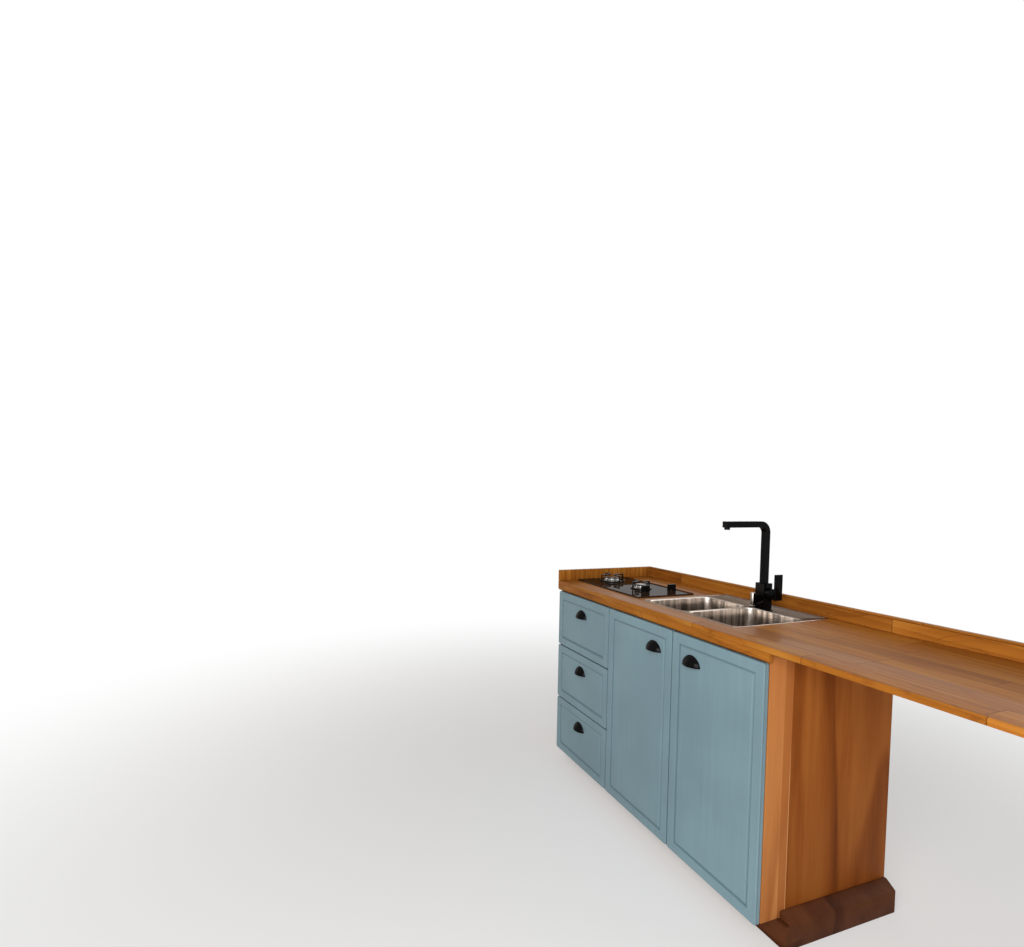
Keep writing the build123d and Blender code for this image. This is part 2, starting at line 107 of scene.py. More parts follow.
def ramp(mat, value, stops):
    made = add(mat, "ValToRGB", {"Fac": value})
    elements = made.color_ramp.elements
    while len(elements) < len(stops):
        elements.new(0.5)
    for element, (place, colour) in zip(elements, stops):
        element.position = place
        element.color = colour
    return made.outputs["Color"]


def bump(mat, height, strength, distance):
    return add(mat, "Bump", {"Height": height, "Strength": strength, "Distance": distance}).outputs["Normal"]


def objectPlace(mat):
    return add(mat, "TexCoord").outputs["Object"]


def objectAxes(mat, order="xyz"):
    # The three coordinates, in the order asked for
    parts = add(mat, "SeparateXYZ", {"Vector": objectPlace(mat)}).outputs
    return [parts["xyz".index(axis)] for axis in order]


def facing(mat):
    # The surface normal's three parts
    return add(mat, "SeparateXYZ", {"Vector": add(mat, "NewGeometry").outputs["Normal"]}).outputs


def vector(mat, x, y, z):
    return add(mat, "CombineXYZ", {0: x, 1: y, 2: z}).outputs[0]


def stretched(mat, axes, scales, shifts=(0.0, 0.0, 0.0)):
    # A place with each axis scaled, and then moved where a shift is given
    moved = []
    for axis, scale, shift in zip(axes, scales, shifts):
        part = calc(mat, "MULTIPLY", axis, scale)
        moved.append(part if shift == 0.0 else calc(mat, "ADD", part, shift))
    return vector(mat, *moved)


def noise(mat, where, scale, detail=3.0, roughness=0.5, distortion=0.0):
    made = add(mat, "TexNoise", {"Vector": where, "Scale": scale, "Detail": detail,
                                 "Roughness": roughness, "Distortion": distortion})
    return made.outputs["Fac"]


def newMaterial(name, **values):
    mat = bpy.data.materials.new(name)
    mat.use_nodes = True
    shader = mat.node_tree.nodes["Principled BSDF"]
    for key, value in values.items():
        shader.inputs[key.replace("_", " ")].default_value = value
    return mat, shader


def srgb(red, green, blue):
    # A screen colour, 0 to 255, as a shader colour
    def straight(v):
        v = v / 255
        return v / 12.92 if v <= 0.04045 else ((v + 0.055) / 1.055) ** 2.4
    return (straight(red), straight(green), straight(blue), 1.0)


# Painted fronts: dusty blue satin paint, a little uneven, with upright brush marks, and painted shade
# darkening the routed grooves
paint = {
    "colour": srgb(124, 151, 160),
    "shade": srgb(114, 138, 147),
    # the groove colour is painted shade in the routed grooves
    "groove": srgb(104, 127, 136),
    "grooveShadeStart": (0.0012, 0.0048),  # depths behind the front face, in metres, between which painted shade darkens the grooves
    "grooveShadeEnd": (0.00768, 0.00576),
    "front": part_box("door_left_panel")[0].y,
    "cloudScale": 2.2,
    "brushStretch": (60.0, 1.0, 3.0),
    "brushRange": (0.3, 0.7),
    "toneShares": (0.75, 0.25),  # cloud and brush marks
    "toneRange": (0.35, 0.68),
    "grainScale": 420.0,
    "grainBump": (0.12, 0.0004),
    "roughness": (0.36, 0.5),
}


def paintedWood():
    mat, shader = newMaterial("paintedFront", Specular_IOR_Level=0.25)
    place, axes = objectPlace(mat), objectAxes(mat)
    cloud = noise(mat, place, paint["cloudScale"], 4.0, 0.55)
    marks = noise(mat, stretched(mat, axes, paint["brushStretch"]), 1.0, 4.0)
    tone = between(mat, weighted(mat, (cloud, marks), paint["toneShares"]), *paint["toneRange"])
    painted = mixColour(mat, tone, paint["shade"], paint["colour"])
    # Painted shade: the paint is darker in the grooves, by depth behind the front face
    depth = calc(mat, "SUBTRACT", axes[1], paint["front"])
    grooveShade = calc(mat, "MULTIPLY", between(mat, depth, *paint["grooveShadeStart"]),
                    between(mat, depth, *paint["grooveShadeEnd"]))
    plug(mat, mixColour(mat, grooveShade, painted, paint["groove"]), shader.inputs["Base Color"])
    plug(mat, between(mat, marks, *paint["brushRange"], *paint["roughness"]), shader.inputs["Roughness"])
    grain = noise(mat, place, paint["grainScale"], 2.0)
    plug(mat, bump(mat, grain, *paint["grainBump"]), shader.inputs["Normal"])
    return mat


# Laminated pine: finger-jointed staves under a thick clear varnish
pine = {
    "stops": ((0.2, srgb(196, 134, 58)), (0.5, srgb(172, 106, 38)), (0.84, srgb(130, 71, 22))),
    "shares": (0.16, 0.08, 0.76),  # rings, fibre and cloud
    "joint": srgb(70, 34, 12),
    "jointHalf": (0.0018, 0.0007),
    "jointShare": 0.62,
    "flame": srgb(112, 58, 22),
    "flameShare": 0.42,
    "toneSpread": 0.15,
    "rowStart": 10.0,
    "rowScatter": 31.7,
    "figureScatter": 23.0,
    "ringStretch": (0.9, 19.625, 19.625),
    "fibreStretch": (5.0, 200.0, 200.0),
    "cloudStretch": (3.0, 13.0, 13.0),
    "flameStretch": (2.6, 9.0, 9.0),
    "flameContours": 6.0,
    "flameWidth": (0.09, 0.0),
    "flameWhere": (0.42, 0.62),
    "grainBump": (0.08, 0.0006),
    "roughness": 0.4,
    "coatRoughness": 0.06,
    "topFacing": (0.2, 0.8),
    "coat": (0.0, 0.075),  # upright and on top
    "specular": (0.02, 0.08),
}
staves = {
    # finish: material, axes along, across and through the board, stave width and length, start
    "pine_worktop": ("pineWorktop", "xyz", 0.075, 0.42, 0.0),
    "pine_fascia": ("pineFascia", "xyz", 0.075, 0.62, 0.27),
    "pine_upstand_back": ("pineUpstandBack", "xzy", 0.048, 0.5, 0.0),
    "pine_upstand_left": ("pineUpstandLeft", "zyx", 0.027, 0.5, 0.0),
}


def laminatedPine(name, order, width, length, start):
    mat, shader = newMaterial(name, Coat_Roughness=pine["coatRoughness"], Roughness=pine["roughness"])
    # The varnish shines on top and is duller on the upright edges
    upward = facing(mat)[2]
    for amount, socket in ((pine["coat"], "Coat Weight"), (pine["specular"], "Specular IOR Level")):
        plug(mat, between(mat, upward, *pine["topFacing"], *amount), shader.inputs[socket])
    # Rows of staves across the board, each cut into blocks of its own along it
    axes = objectAxes(mat, order)
    rowPlace = calc(mat, "DIVIDE", calc(mat, "ADD", axes[1], pine["rowStart"] + start), width)
    row = calc(mat, "FLOOR", rowPlace)
    rowRandom = add(mat, "TexWhiteNoise", {"W": row}, noise_dimensions="1D").outputs["Value"]
    rowShift = calc(mat, "MULTIPLY", rowRandom, pine["rowScatter"] + start)
    blockPlace = calc(mat, "ADD", calc(mat, "DIVIDE", axes[0], length), rowShift)
    cell = vector(mat, row, calc(mat, "FLOOR", blockPlace), 0.0)
    blockRandom = add(mat, "TexWhiteNoise", {"Vector": cell}, noise_dimensions="2D").outputs["Value"]
    shift = calc(mat, "MULTIPLY", blockRandom, pine["figureScatter"])
    # The figure of the wood differs from block to block
    ringPlace = stretched(mat, axes, pine["ringStretch"], (shift, shift, 0.0))
    rings = add(mat, "TexWave", {"Vector": ringPlace, "Scale": 1.0, "Distortion": 5.5, "Detail": 3.0,
                                 "Detail Scale": 0.8}, wave_type="BANDS", bands_direction="DIAGONAL",
                wave_profile="SAW").outputs["Fac"]
    fibre = noise(mat, stretched(mat, axes, pine["fibreStretch"]), 1.0, 3.0, 0.6)
    cloud = noise(mat, stretched(mat, axes, pine["cloudStretch"], (shift, 0.0, 0.0)), 1.0, 2.0)
    grain = weighted(mat, (rings, fibre, cloud), pine["shares"])
    tone = between(mat, blockRandom, 0.0, 1.0, 1.0 - pine["toneSpread"], 1.0)
    toned = mixColour(mat, 1.0, ramp(mat, grain, pine["stops"]),
                      ramp(mat, tone, ((0.0, black), (1.0, white))), "MULTIPLY")
    contour = noise(mat, stretched(mat, axes, pine["flameStretch"], (shift, 0.0, 0.0)), 1.0, 3.0, 0.5, 0.8)
    crest = fromMiddle(mat, calc(mat, "MULTIPLY", contour, pine["flameContours"]))
    flame = calc(mat, "MULTIPLY", between(mat, crest, *pine["flameWidth"]),
                 between(mat, cloud, *pine["flameWhere"]))
    figured = mixColour(mat, calc(mat, "MULTIPLY", flame, pine["flameShare"]), toned, pine["flame"])
    # Dark glue lines between rows and between blocks
    wide, narrow = pine["jointHalf"]
    rowLine = between(mat, fromMiddle(mat, rowPlace), 0.5 - wide / width, 0.5 - narrow / width)
    blockLine = between(mat, fromMiddle(mat, blockPlace), 0.5 - wide / length, 0.5 - narrow / length)
    line = calc(mat, "MAXIMUM", rowLine, blockLine)
    jointed = mixColour(mat, calc(mat, "MULTIPLY", line, pine["jointShare"]), figured, pine["joint"])
    plug(mat, jointed, shader.inputs["Base Color"])
    plug(mat, bump(mat, calc(mat, "SUBTRACT", grain, line), *pine["grainBump"]), shader.inputs["Normal"])
    return mat


# Veneered boards: peeled veneer, whose growth rings come out as wide standing contours
veneer = {
    "stops": (0.28, 0.5, 0.74),
    "shares": (0.24, 0.2, 0.56),  # late wood, fibre and cloud
    "figureStretch": (0.35, 3.2, 3.2),
    "fibreStretch": (7.0, 260.0, 260.0),
    "cloudStretch": (1.4, 14.0, 14.0),
    "lateRise": (0.1, 0.9),
    "lateFall": (1.0, 0.86),
    "fibreBump": (0.1, 0.0004),
    "roughness": 0.55,
    "specular": 0.05,
}
boards = {
    # finish: material, axes along, across and through the board, light, middle, dark, contours, seed
    # the end board's tones, darker than the stile's, are partly its own colour and partly painted shade
    "plywood_end": ("plywoodEndPartlyShaded", "zyx", (166, 99, 42), (139, 75, 26), (100, 47, 11), 3.0, 3.1),
    "plywood_stile": ("plywoodStile", "zyx", (208, 142, 84), (194, 126, 70), (168, 100, 50), 3.0, 8.4),
    "carcass_board": ("carcassBoard", "zxy", (226, 196, 150), (212, 176, 126), (188, 146, 96), 5.0, 1.7),
    "carcass_floor": ("carcassFloor", "xyz", (226, 196, 150), (212, 176, 126), (188, 146, 96), 3.0, 6.3),
    "carcass_box": ("carcassBox", "xzy", (228, 200, 156), (216, 182, 134), (196, 156, 106), 3.0, 2.9),
    # the plinth's very dark tones are the wood with painted shade, as it stands low under the cabinet
    "plinth_wood": ("plinthWoodPaintedShade", "xzy", (92, 53, 30), (75, 39, 21), (50, 24, 10), 3.0, 5.2),
}
stileBand = {
    "start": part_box("end_stile")[1].y - 0.032,
    "end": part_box("end_stile")[1].y,
    "edgeHalf": 0.001,
    "colour": srgb(168, 98, 46),
    "share": 0.75,
    # the light line is a painted highlight along the rear edge
    "line": srgb(232, 178, 120),
    "highlightReach": (0.0035, 0.002),
    "highlightTop": 0.62,
    "highlightFade": 0.15,
    "highlightShare": 0.8,
}


def bandedStile(mat, colour, height, across):
    # A darker strip along the rear edge, and a painted highlight: a light line close to that edge, low down,
    # fading out higher up
    start, end, half = stileBand["start"], stileBand["end"], stileBand["edgeHalf"]
    inside = between(mat, across, start - half, start + half)
    colour = mixColour(mat, calc(mat, "MULTIPLY", inside, stileBand["share"]), colour, stileBand["colour"])
    far, near = stileBand["highlightReach"]
    top = stileBand["highlightTop"]
    line = calc(mat, "MULTIPLY", between(mat, across, end - far, end - near),
                between(mat, height, top, top - stileBand["highlightFade"]))
    return mixColour(mat, calc(mat, "MULTIPLY", line, stileBand["highlightShare"]), colour, stileBand["line"])


def veneeredBoard(name, order, light, middle, dark, contours, seed, banded):
    mat, shader = newMaterial(name, Roughness=veneer["roughness"], Specular_IOR_Level=veneer["specular"])
    axes = objectAxes(mat, order)
    figure = noise(mat, stretched(mat, axes, veneer["figureStretch"], (seed, 0.0, 0.0)), 1.0, 2.5, 0.45, 0.6)
    ring = calc(mat, "FRACT", calc(mat, "MULTIPLY", figure, contours))
    late = calc(mat, "MULTIPLY", between(mat, ring, *veneer["lateRise"]),
                between(mat, ring, *veneer["lateFall"]))
    fibre = noise(mat, stretched(mat, axes, veneer["fibreStretch"]), 1.0, 3.0, 0.6)
    cloud = noise(mat, stretched(mat, axes, veneer["cloudStretch"], (seed, 0.0, 0.0)), 1.0, 3.0)
    mixed = weighted(mat, (late, fibre, cloud), veneer["shares"])
    tones = [srgb(*tone) for tone in (light, middle, dark)]
    colour = ramp(mat, mixed, list(zip(veneer["stops"], tones)))
    if banded:
        colour = bandedStile(mat, colour, axes[0], axes[1])
    plug(mat, colour, shader.inputs["Base Color"])
    plug(mat, bump(mat, fibre, *veneer["fibreBump"]), shader.inputs["Normal"])
    return mat


# Black parts: satin metal and plastic
blacks = {
    # finish: material, colour, roughness from and to, coat
    "black_metal": ("blackMetal", (5, 4, 4), 0.14, 0.26, 0.1),
    "support_metal": ("supportMetal", (18, 18, 16), 0.2, 0.34, 0.8),
    "knob_plastic": ("knobPlastic", (9, 9, 9), 0.34, 0.48, 0.22),
}
satin = {"specular": 0.02, "cloudScale": 35.0, "cloudRange": (0.3, 0.7), "grainScale": 900.0,
         "grainBump": (0.08, 0.0002)}


def satinBlack(name, colour, low, high, coat):
    mat, shader = newMaterial(name, Base_Color=srgb(*colour), Specular_IOR_Level=satin["specular"],
                              Coat_Weight=coat, Coat_Roughness=low / 2)
    place = objectPlace(mat)
    cloud = noise(mat, place, satin["cloudScale"], 4.0, 0.6)
    plug(mat, between(mat, cloud, *satin["cloudRange"], low, high), shader.inputs["Roughness"])
    grain = noise(mat, place, satin["grainScale"], 2.0)
    plug(mat, bump(mat, grain, *satin["grainBump"]), shader.inputs["Normal"])
    return mat


# Steel, brushed along its first axis
steels = {
    # finish: material, colour, axes, roughness from and to
    "runner_steel": ("runnerSteel", (0.62, 0.63, 0.64, 1.0), "yxz", 0.3, 0.45),
    # the sink's warm, darkened steel colour is partly a painted reflection of a warm room
    "sink_steel": ("sinkSteel", (0.46, 0.405, 0.36, 1.0), "xyz", 0.24, 0.38),
    "burner_metal": ("burnerMetal", (0.46, 0.45, 0.43, 1.0), "xyz", 0.3, 0.44),
    # the knob's dark warm steel colour is a painted reflection of the room around it
    "knob_steel": ("knobSteel", (0.34, 0.3, 0.27, 1.0), "zxy", 0.12, 0.22),
    "waste_chrome": ("wasteChrome", (0.74, 0.74, 0.75, 1.0), "xyz", 0.08, 0.18),
}
brush = {
    "stretch": (14.0, 900.0, 900.0),
    "lineRange": (0.25, 0.75),
    "cloudScale": 6.0,
    "cloudRange": (0.3, 0.7),
    "brightness": (0.82, 1.0),
    "bump": (0.25, 0.0008),
}
sinkLook = {
    # The sink's painted reflections: a warm edge tint, streaks on the walls, a darker deck and a highlight on
    # the shoulder
    "edgeTint": (0.62, 0.53, 0.46, 1.0),
    "wallNormal": (0.6, 0.2),
    "streakStretch": (52.0, 52.0, 4.0),
    "streakRange": (0.36, 0.62),
    "reflectionStreakLevel": (0.42, 1.5),
    "deckNormal": (0.9, 0.99),
    "deckHeight": (0.88, 0.89),
    "deckDarkReflection": 0.5,
    "shoulderNormal": (0.3, 0.7),
    "shoulderHeight": (0.868, 0.886),
    "shoulderHighlight": 0.9,
    "waveStretch": (46.0, 46.0, 2.0),
    "heightShares": (0.12, 1.0),  # brush lines and waves
}


def paintedSinkReflections(mat, shader, grey, lines):
    # Painted reflections: light and dark upright streaks on the bowls' walls, a darker deck, and a painted
    # highlight on the bowls' shoulder that faces +X
    shader.inputs["Specular Tint"].default_value = sinkLook["edgeTint"]
    axes, normal = objectAxes(mat), facing(mat)
    upright = between(mat, calc(mat, "ABSOLUTE", normal[2]), *sinkLook["wallNormal"])
    deck = calc(mat, "MULTIPLY", between(mat, normal[2], *sinkLook["deckNormal"]),
                between(mat, axes[2], *sinkLook["deckHeight"]))
    shoulder = calc(mat, "MULTIPLY", between(mat, normal[0], *sinkLook["shoulderNormal"]),
                    between(mat, axes[2], *sinkLook["shoulderHeight"]))
    streak = noise(mat, stretched(mat, axes, sinkLook["streakStretch"]), 1.0, 2.0, 0.6)
    streaks = between(mat, streak, *sinkLook["streakRange"], *sinkLook["reflectionStreakLevel"])
    level = calc(mat, "ADD", calc(mat, "MULTIPLY", calc(mat, "SUBTRACT", streaks, 1.0), upright), 1.0)
    level = calc(mat, "SUBTRACT", level, calc(mat, "MULTIPLY", deck, sinkLook["deckDarkReflection"]))
    level = calc(mat, "ADD", level, calc(mat, "MULTIPLY", shoulder, sinkLook["shoulderHighlight"]))
    grey = add(mat, "VectorMath", {0: grey, "Scale": level}, operation="SCALE").outputs["Vector"]
    wave = noise(mat, stretched(mat, axes, sinkLook["waveStretch"]), 1.0, 1.0)
    return grey, weighted(mat, (lines, wave), sinkLook["heightShares"])


def brushedSteel(name, colour, order, low, high, pressed):
    mat, shader = newMaterial(name, Metallic=1.0)
    lines = noise(mat, stretched(mat, objectAxes(mat, order), brush["stretch"]), 1.0, 3.0, 0.6)
    plug(mat, between(mat, lines, *brush["lineRange"], low, high), shader.inputs["Roughness"])
    cloud = noise(mat, objectPlace(mat), brush["cloudScale"], 3.0)
    tint = between(mat, cloud, *brush["cloudRange"], *brush["brightness"])
    grey, height = ramp(mat, tint, ((0.0, black), (1.0, colour))), lines
    # only the sink's steel gets these painted reflections and the painted highlight
    if pressed:
        grey, height = paintedSinkReflections(mat, shader, grey, lines)
    plug(mat, grey, shader.inputs["Base Color"])
    plug(mat, bump(mat, height, *brush["bump"]), shader.inputs["Normal"])
    return mat


# Black glass of the hob, slightly smeared; its dark brown colour is a painted reflection of a warm room
glass = {
    "colour": srgb(50, 34, 23),
    "coat": 0.32,
    "coatRoughness": 0.03,
    "smearScale": 9.0,
    "smearRange": (0.35, 0.75),
    "roughness": (0.05, 0.16),
}


def polishedGlass():
    mat, shader = newMaterial("hobGlass", Base_Color=glass["colour"], Specular_IOR_Level=0.0,
                              Coat_Weight=glass["coat"], Coat_Roughness=glass["coatRoughness"])
    smear = noise(mat, objectPlace(mat), glass["smearScale"], 5.0, 0.65)
    plug(mat, between(mat, smear, *glass["smearRange"], *glass["roughness"]), shader.inputs["Roughness"])
    return mat


materials = {"painted_front": paintedWood(), "hob_glass": polishedGlass()}
for finish, row in staves.items():
    materials[finish] = laminatedPine(*row)
for finish, row in boards.items():
    materials[finish] = veneeredBoard(*row, banded=finish == "plywood_stile")
for finish, row in blacks.items():
    materials[finish] = satinBlack(*row)
for finish, row in steels.items():
    materials[finish] = brushedSteel(*row, pressed=finish == "sink_steel")
print("materials made:", len(materials))


def dress(piece, finish):
    piece.data.materials.clear()
    piece.data.materials.append(materials[finish])


# Solid pieces: a finish other than their slot's, and how far their sharp edges are rounded
finishOf = {
    "upstand_back": "pine_upstand_back", "upstand_left": "pine_upstand_left", "end_stile": "plywood_stile",
    "fascia_rail": "pine_fascia", "bottom_panel": "carcass_floor", "drawer_top_box": "carcass_box",
    "drawer_middle_box": "carcass_box", "drawer_bottom_box": "carcass_box",
}
rounding = {
    "worktop": 0.0008, "upstand_back": 0.0015, "upstand_left": 0.0015, "fascia_rail": 0.0012,
    "end_panel": 0.0006, "end_stile": 0.0010, "side_skirting": 0.0012, "plinth_front": 0.0010,
    "side_panel_left": 0.0006, "bottom_panel": 0.0006, "back_panel": 0.0005, "divider": 0.0006,
    "base_bearers": 0.0008, "drawer_bottom_box": 0.0008, "drawer_middle_box": 0.0008,
    "drawer_top_box": 0.0008, "tap_body": 0.0006, "tap_hub": 0.0008, "tap_lever": 0.0008,
    "pan_supports": 0.0010,
}
softening = {"weldDistance": 0.00002, "flatAngle": 1.0, "sharpAngle": 40.0, "segments": 2}


def softenEdges(piece, width):
    # Welds the split corners and rounds the sharp edges a little
    weld = piece.modifiers.new("weld", "WELD")
    weld.merge_threshold = softening["weldDistance"]
    flat = piece.modifiers.new("flat", "DECIMATE")
    flat.decimate_type = "DISSOLVE"
    flat.angle_limit = math.radians(softening["flatAngle"])
    edge = piece.modifiers.new("edge", "BEVEL")
    edge.width = width
    edge.segments = softening["segments"]
    edge.limit_method = "ANGLE"
    edge.angle_limit = math.radians(softening["sharpAngle"])
    edge.harden_normals = True
    for face in piece.data.polygons:
        face.use_smooth = True


for name, piece in nodes.items():
    dress(piece, finishOf.get(name, slotOf[name]))
    if name in rounding:
        softenEdges(piece, rounding[name])
print("solid pieces dressed")


def skin(bm, loops):
    # Joins each loop of points to the next with a band of faces
    for outer, inner in zip(loops, loops[1:]):
        for i in range(len(outer)):
            j = (i + 1) % len(outer)
            bm.faces.new((outer[i], outer[j], inner[j], inner[i]))


def turned(bm, centre, profile, segments, notch=None):
    # A lathe form about an upright line, from (radius, height) pairs; notch may change a radius
    loops = []
    for radius, height in profile:
        loop = []
        for step in range(segments):
            angle = 2 * math.pi * step / segments
            reach = notch(step, radius, height) if notch else radius
            offset = Vector((reach * math.cos(angle), reach * math.sin(angle), height))
            loop.append(bm.verts.new(Vector(centre) + offset))
        loops.append(loop)
    skin(bm, loops)
    bm.faces.new(loops[0])
    bm.faces.new(loops[-1])


def makePiece(bm, name, finish, body, stands=None, sharp=32):
    bmesh.ops.recalc_face_normals(bm, faces=bm.faces)
    mesh = bpy.data.meshes.new(name)
    bm.to_mesh(mesh)
    bm.free()
    piece = bpy.data.objects.new(name, mesh)
    bpy.context.scene.collection.objects.link(piece)
    for face in mesh.polygons:
        face.use_smooth = True
    mesh.set_sharp_from_angle(angle=math.radians(sharp))
    dress(piece, finish)
    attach(piece, body)
    if stands:
        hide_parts(stands)
    return piece


# Routed fronts of the drawers and doors
routing = {
    "nodes": ("drawer_top_front", "drawer_middle_front", "drawer_bottom_front", "door_left_panel",
              "door_right_panel"),
    "edgeRadius": 0.003,
    "edgeSteps": 4,
    "flatStrip": 0.0006,  # beside each curve, so that the wide faces shade flat
    "corner": 0.008,
    "cornerSteps": 6,
    "inset": 0.0325,
    "groove": ((-0.0016, 0.0), (-0.0010, 0.0), (-0.0002, 0.0008), (0.0006, 0.0034), (0.0012, 0.0047),
               (0.0030, 0.0052), (0.0056, 0.0044), (0.0082, 0.0026), (0.0104, 0.0010), (0.0122, 0.0),
               (0.0128, 0.0)),  # (across, depth)
    "grooveCorner": 0.002,
    "topReach": 0.0025,
    "underFascia": ("drawer_top_front", "door_left_panel", "door_right_panel"),
}


def frontRing(bm, low, high, y, corner):
    # One rounded rectangle of points in a plane that faces the front
    points = []
    centres = ((high.x - corner, high.z - corner, 0), (low.x + corner, high.z - corner, 90),
               (low.x + corner, low.z + corner, 180), (high.x - corner, low.z + corner, 270))
    for cx, cz, start in centres:
        for step in range(routing["cornerSteps"] + 1):
            angle = math.radians(start + 90 * step / routing["cornerSteps"])
            points.append(bm.verts.new((cx + corner * math.cos(angle), y, cz + corner * math.sin(angle))))
    return points


def routedFront(node):
    low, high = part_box(node)
    back, front = high.y, low.y
    bm = bmesh.new()
    radius, corner, strip = routing["edgeRadius"], routing["corner"], routing["flatStrip"]
    rings = [(0.0, back - front, corner), (0.0, radius + strip, corner), (0.0, radius, corner)]
    for step in range(1, routing["edgeSteps"] + 1):
        angle = math.radians(90 * step / routing["edgeSteps"])
        rings.append((radius * (1 - math.cos(angle)), radius * (1 - math.sin(angle)), corner))
    rings.append((radius + strip, 0.0, corner))
    for across, depth in routing["groove"]:
        rings.append((routing["inset"] + across, depth, routing["grooveCorner"]))
    # The highest fronts reach a little further up, to leave a fine gap under the fascia
    reach = routing["topReach"] if node in routing["underFascia"] else 0.0
    loops = []
    for inset, depth, ringCorner in rings:
        shift = Vector((inset, 0, inset))
        rise = Vector((0, 0, reach if inset < routing["inset"] / 2 else 0.0))
        loops.append(frontRing(bm, low + shift, high - shift + rise, front + depth, ringCorner))
    skin(bm, loops)
    bm.faces.new(loops[-1])
    bm.faces.new(loops[0])
    makePiece(bm, node + "_routed", "painted_front", bodyOf[node], stands=node, sharp=28)


for node in routing["nodes"]:
    routedFront(node)
print("fronts routed")


# Sink, pressed from one sheet: rolled rim, rolled bowl mouths, sloping floors
pressing = {
    "corner": 0.020,
    "rim": ((0.0, 0.0009), (0.0006, 0.0002), (0.0014, 0.0), (0.004, 0.0), (0.0052, 0.0004),
            (0.0062, 0.0014)),  # (inset, drop below the top); the last one is the deck
    "frontMargin": 0.016,
    "endMargin": 0.014,
    "bowlWidth": 0.306,
    "bowlLengths": (0.216, 0.241),
    "bowlCorner": 0.032,
    "leastCorner": 0.006,
    "mouthRoll": 0.0055,
    "mouthSteps": 5,
    "draft": 0.003,
    "wallShares": (0.33, 0.66, 1.0),
    "footRadius": 0.018,
    "footSteps": 7,
    "floorLift": 0.0015,
    "floorRise": 0.0018,
    "floorShares": (0.35, 0.7),
    "floorHalf": 0.044,
    "floorCorner": (0.014, 0.03),
    "seatRadius": 0.040,
    "seatStep": 0.0002,
    "wasteRadius": 0.030,
    "circleGap": 4.0,
    "cornerSteps": 10,
    "sheet": 0.0012,
}


def levelRing(bm, centre, halfX, halfY, corner, z):
    # A level rounded rectangle, begun at the middle of its +X side
    points = []
    for signX, signY, start in ((1, 1, 0), (-1, 1, 90), (-1, -1, 180), (1, -1, 270)):
        cx = centre[0] + signX * (halfX - corner)
        cy = centre[1] + signY * (halfY - corner)
        for step in range(pressing["cornerSteps"] + 1):
            angle = math.radians(start + 90 * step / pressing["cornerSteps"])
            points.append(bm.verts.new((cx + corner * math.cos(angle), cy + corner * math.sin(angle), z)))
    return points


def roundRing(bm, centre, radius, z):
    # A level circle with as many points, and in the same order, as levelRing
    points = []
    gap = pressing["circleGap"]
    for start in (0, 90, 180, 270):
        for step in range(pressing["cornerSteps"] + 1):
            angle = math.radians(start + gap + (90 - 2 * gap) * step / pressing["cornerSteps"])
            points.append(bm.verts.new((centre[0] + radius * math.cos(angle),
                                        centre[1] + radius * math.sin(angle), z)))
    return points


def bowlProfile(deck, floor):
    # (inset, height) from the rolled mouth down the drafted wall to the rounded foot
    roll, foot, draft = pressing["mouthRoll"], pressing["footRadius"], pressing["draft"]
    edge = floor + pressing["floorRise"]
    profile = []
    for step in range(pressing["mouthSteps"] + 1):
        angle = math.radians(90 * step / pressing["mouthSteps"])
        profile.append((-roll * (1 - math.sin(angle)), deck - roll * (1 - math.cos(angle))))
    depth = deck - roll - (edge + foot)
    for share in pressing["wallShares"]:
        profile.append((draft * share, deck - roll - depth * share))
    for step in range(1, pressing["footSteps"] + 1):
        angle = math.radians(90 * step / pressing["footSteps"])
        profile.append((draft + foot * (1 - math.cos(angle)), edge + foot * (1 - math.sin(angle))))
    return profile


def pressedBowl(bm, centre, halfX, halfY, deck, floor):
    # Gives back the ring at the mouth, for the deck to meet
    rings = []
    profile = bowlProfile(deck, floor)
    for inset, z in profile:
        corner = max(pressing["bowlCorner"] - inset, pressing["leastCorner"])
        rings.append(levelRing(bm, centre, halfX - inset, halfY - inset, corner, z))
    wide, long = halfX - profile[-1][0], halfY - profile[-1][0]
    middle = pressing["floorHalf"]
    tight, growth = pressing["floorCorner"]
    for share in pressing["floorShares"]:
        rings.append(levelRing(bm, centre, wide + (middle - wide) * share, long + (middle - long) * share,
                               tight + growth * share, floor + pressing["floorRise"] * (1 - share)))
    rings.append(roundRing(bm, centre, pressing["seatRadius"], floor + pressing["seatStep"]))
    rings.append(roundRing(bm, centre, pressing["wasteRadius"], floor))
    skin(bm, rings)
    return rings[0]


def pressedSink():
    low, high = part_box("sink")
    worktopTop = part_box("hob_glass")[0].z
    floor = low.z + pressing["floorLift"]
    deck = high.z - pressing["rim"][-1][1]
    middle = ((low.x + high.x) / 2, (low.y + high.y) / 2)
    bm = bmesh.new()
    rim = []
    for inset, z in [(0.0, worktopTop)] + [(inset, high.z - drop) for inset, drop in pressing["rim"]]:
        rim.append(levelRing(bm, middle, (high.x - low.x) / 2 - inset, (high.y - low.y) / 2 - inset,
                             pressing["corner"] - inset, z))
    skin(bm, rim)
    halfY = pressing["bowlWidth"] / 2
    bowlY = low.y + pressing["frontMargin"] + halfY
    halves = [length / 2 for length in pressing["bowlLengths"]]
    bowlXs = (low.x + pressing["endMargin"] + halves[0], high.x - pressing["endMargin"] - halves[1])
    loops = [rim[-1]]
    for bowlX, halfX in zip(bowlXs, halves):
        loops.append(pressedBowl(bm, (bowlX, bowlY), halfX, halfY, deck, floor))
    deckEdges = []
    for loop in loops:
        deckEdges += [bm.edges.get(pair) for pair in zip(loop, loop[1:] + loop[:1])]
    bmesh.ops.triangle_fill(bm, use_beauty=True, use_dissolve=False, edges=deckEdges)
    piece = makePiece(bm, "sink_pressed", "sink_steel", "cabinet", stands="sink", sharp=50)
    shell = piece.modifiers.new("sheet", "SOLIDIFY")
    shell.thickness = pressing["sheet"]
    shell.offset = -1


